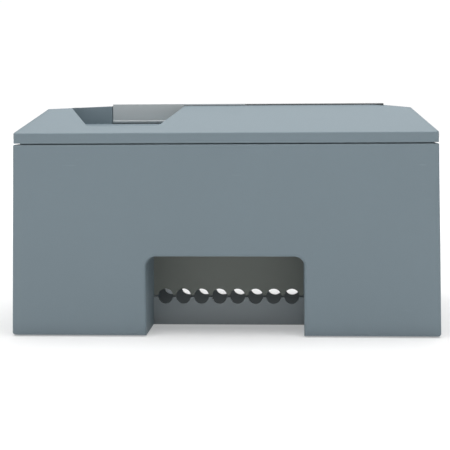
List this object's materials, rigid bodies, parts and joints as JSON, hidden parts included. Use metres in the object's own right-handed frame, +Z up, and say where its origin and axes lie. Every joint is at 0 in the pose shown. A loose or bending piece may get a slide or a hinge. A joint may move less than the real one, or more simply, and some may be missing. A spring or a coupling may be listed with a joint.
{
  "type": "bus fare box",
  "caption": "Moulded fare console with sloped hinged cover, cable tunnel with comb holes, finger-scoop paper door, ticket printer, coin path, keys and sliding cash vault.",
  "frame": {"origin": "under the middle of the whole object, on the surface it stands on", "axes": "+Z up, -Y towards the cable side, +Y towards the driver's side with the vault and keys, +X right as seen from the cable side"},
  "size_m": [0.3, 0.2156, 0.1622],
  "materials": {
    "housing_grey": "fine moulded grain",
    "cover_grey": "fine moulded grain",
    "comb_grey": "moulded",
    "window_black": "gloss",
    "display_grey": "matt",
    "key_grey": "fine grain",
    "key_green": "fine grain",
    "key_red": "fine grain",
    "rocker_black": "satin",
    "zinc_steel": "zinc plated sheet",
    "stainless": "brushed",
    "vault_paint": "powder coat",
    "lock_chrome": "polished",
    "display_glow": "lit segments",
    "screw_steel": "zinc plated",
    "foot_rubber": "matt",
    "roller_rubber": "ground",
    "paper_white": "uncoated paper",
    "gear_white": "acetal",
    "board_green": "solder mask",
    "black_plastic": "moulded",
    "motor_metal": "satin"
  },
  "bodies": {
    "housing": {"main_housing": "housing_grey", "rear_comb_strip": "comb_grey", "inner_comb_lower": "comb_grey", "inner_comb_upper": "comb_grey", "base_plate_left": "zinc_steel", "base_plate_right": "zinc_steel", "base_screws": "screw_steel", "comb_screws": "screw_steel", "rubber_feet": "foot_rubber", "cover_hinge_pins": "stainless", "chassis_tray": "zinc_steel", "vault_shelf": "zinc_steel", "vault_rails": "zinc_steel", "printer_frame": "zinc_steel", "thermal_head": "black_plastic", "tear_bar": "stainless", "feed_motor": "motor_metal", "connector_block": "black_plastic", "main_board": "board_green", "power_supply": "zinc_steel", "backup_battery": "black_plastic", "speaker": "black_plastic", "coin_chute": "stainless", "coin_validator": "black_plastic", "coin_bracket": "zinc_steel", "escrow_pin": "stainless", "switch_bezel": "black_plastic", "cover_lock_body": "lock_chrome"},
    "cover": {"top_cover": "cover_grey", "reader_window": "window_black", "display_module": "display_grey", "reader_antenna": "board_green", "coin_inlet": "stainless", "paper_door_pin": "stainless", "key_board": "board_green", "lock_keeper": "zinc_steel"},
    "paper_door": {"paper_door": "cover_grey"},
    "vault": {"cash_vault": "vault_paint", "vault_front": "vault_paint", "vault_lock_body": "lock_chrome"},
    "vault_handle": {"vault_handle": "stainless"},
    "vault_lock": {"vault_lock_plug": "lock_chrome", "vault_lock_cam": "zinc_steel"},
    "cover_lock": {"cover_lock_plug": "lock_chrome", "cover_lock_cam": "zinc_steel"},
    "ticket_roll": {"paper_roll": "paper_white", "roll_spindle": "black_plastic"},
    "platen": {"platen_roller": "roller_rubber", "platen_shaft": "stainless", "platen_gear": "gear_white"},
    "feed_drive": {"motor_pinion": "gear_white", "motor_shaft": "stainless"},
    "escrow": {"escrow_flap": "stainless"},
    "rocker": {"power_rocker": "rocker_black"},
    "fare_key_1": {"fare_key_1": "key_green"},
    "fare_key_2": {"fare_key_2": "key_grey"},
    "fare_key_3": {"fare_key_3": "key_grey"},
    "fare_key_4": {"fare_key_4": "key_grey"},
    "fare_key_5": {"fare_key_5": "key_grey"},
    "fare_key_6": {"fare_key_6": "key_red"}
  },
  "joints": [
    {"name": "cover_hinge", "type": "hinge", "parent": "housing", "child": "cover", "pos_m": [0, 0.10383, 0.1348], "axis": [-1, 0, 0], "range_deg": [0, 100]},
    {"name": "paper_door_hinge", "type": "hinge", "parent": "cover", "child": "paper_door", "pos_m": [-0.036, 0.02399, 0.1574], "axis": [-1, 0, 0], "range_deg": [0, 95]},
    {"name": "vault_slide", "type": "slide", "parent": "housing", "child": "vault", "axis": [0, 1, 0], "range_m": [0, 0.16]},
    {"name": "vault_handle_hinge", "type": "hinge", "parent": "vault", "child": "vault_handle", "pos_m": [-0.10098, 0.09767, 0.038], "axis": [1, 0, 0], "range_deg": [0, 90]},
    {"name": "vault_lock_turn", "type": "hinge", "parent": "vault", "child": "vault_lock", "pos_m": [-0.10098, 0.10217, 0.064], "axis": [0, -1, 0], "range_deg": [0, 90]},
    {"name": "cover_lock_turn", "type": "hinge", "parent": "housing", "child": "cover_lock", "pos_m": [0.14367, -0.02, 0.112], "axis": [1, 0, 0], "range_deg": [0, 90]},
    {"name": "ticket_roll_spin", "type": "hinge", "parent": "housing", "child": "ticket_roll", "pos_m": [-0.036, -0.01401, 0.117], "axis": [1, 0, 0], "continuous": true},
    {"name": "platen_spin", "type": "hinge", "parent": "housing", "child": "platen", "pos_m": [-0.036, 0.03999, 0.138], "axis": [1, 0, 0], "continuous": true},
    {"name": "feed_drive_spin", "type": "hinge", "parent": "housing", "child": "feed_drive", "pos_m": [0.004, 0.03999, 0.12], "axis": [1, 0, 0], "continuous": true},
    {"name": "escrow_hinge", "type": "hinge", "parent": "housing", "child": "escrow", "pos_m": [-0.108, -0.016, 0.107], "axis": [-1, 0, 0], "range_deg": [0, 55], "stiffness_Nm_per_rad": 0.02},
    {"name": "rocker_tilt", "type": "hinge", "parent": "housing", "child": "rocker", "pos_m": [0.1, 0.09759, 0.034], "axis": [1, 0, 0], "range_deg": [-12, 12]},
    {"name": "fare_key_1_press", "type": "slide", "parent": "cover", "child": "fare_key_1", "axis": [0, -0.3385, -0.941], "range_m": [0, 0.0018], "stiffness_N_per_m": 300},
    {"name": "fare_key_2_press", "type": "slide", "parent": "cover", "child": "fare_key_2", "axis": [0, -0.3385, -0.941], "range_m": [0, 0.0018], "stiffness_N_per_m": 300},
    {"name": "fare_key_3_press", "type": "slide", "parent": "cover", "child": "fare_key_3", "axis": [0, -0.3385, -0.941], "range_m": [0, 0.0018], "stiffness_N_per_m": 300},
    {"name": "fare_key_4_press", "type": "slide", "parent": "cover", "child": "fare_key_4", "axis": [0, -0.3385, -0.941], "range_m": [0, 0.0018], "stiffness_N_per_m": 300},
    {"name": "fare_key_5_press", "type": "slide", "parent": "cover", "child": "fare_key_5", "axis": [0, -0.3385, -0.941], "range_m": [0, 0.0018], "stiffness_N_per_m": 300},
    {"name": "fare_key_6_press", "type": "slide", "parent": "cover", "child": "fare_key_6", "axis": [0, -0.3385, -0.941], "range_m": [0, 0.0018], "stiffness_N_per_m": 300}
  ],
  "couplings": [
    {"joint": "feed_drive_spin", "follows": "platen_spin", "ratio": -2},
    {"joint": "ticket_roll_spin", "follows": "platen_spin", "ratio": 0.2593}
  ]
}
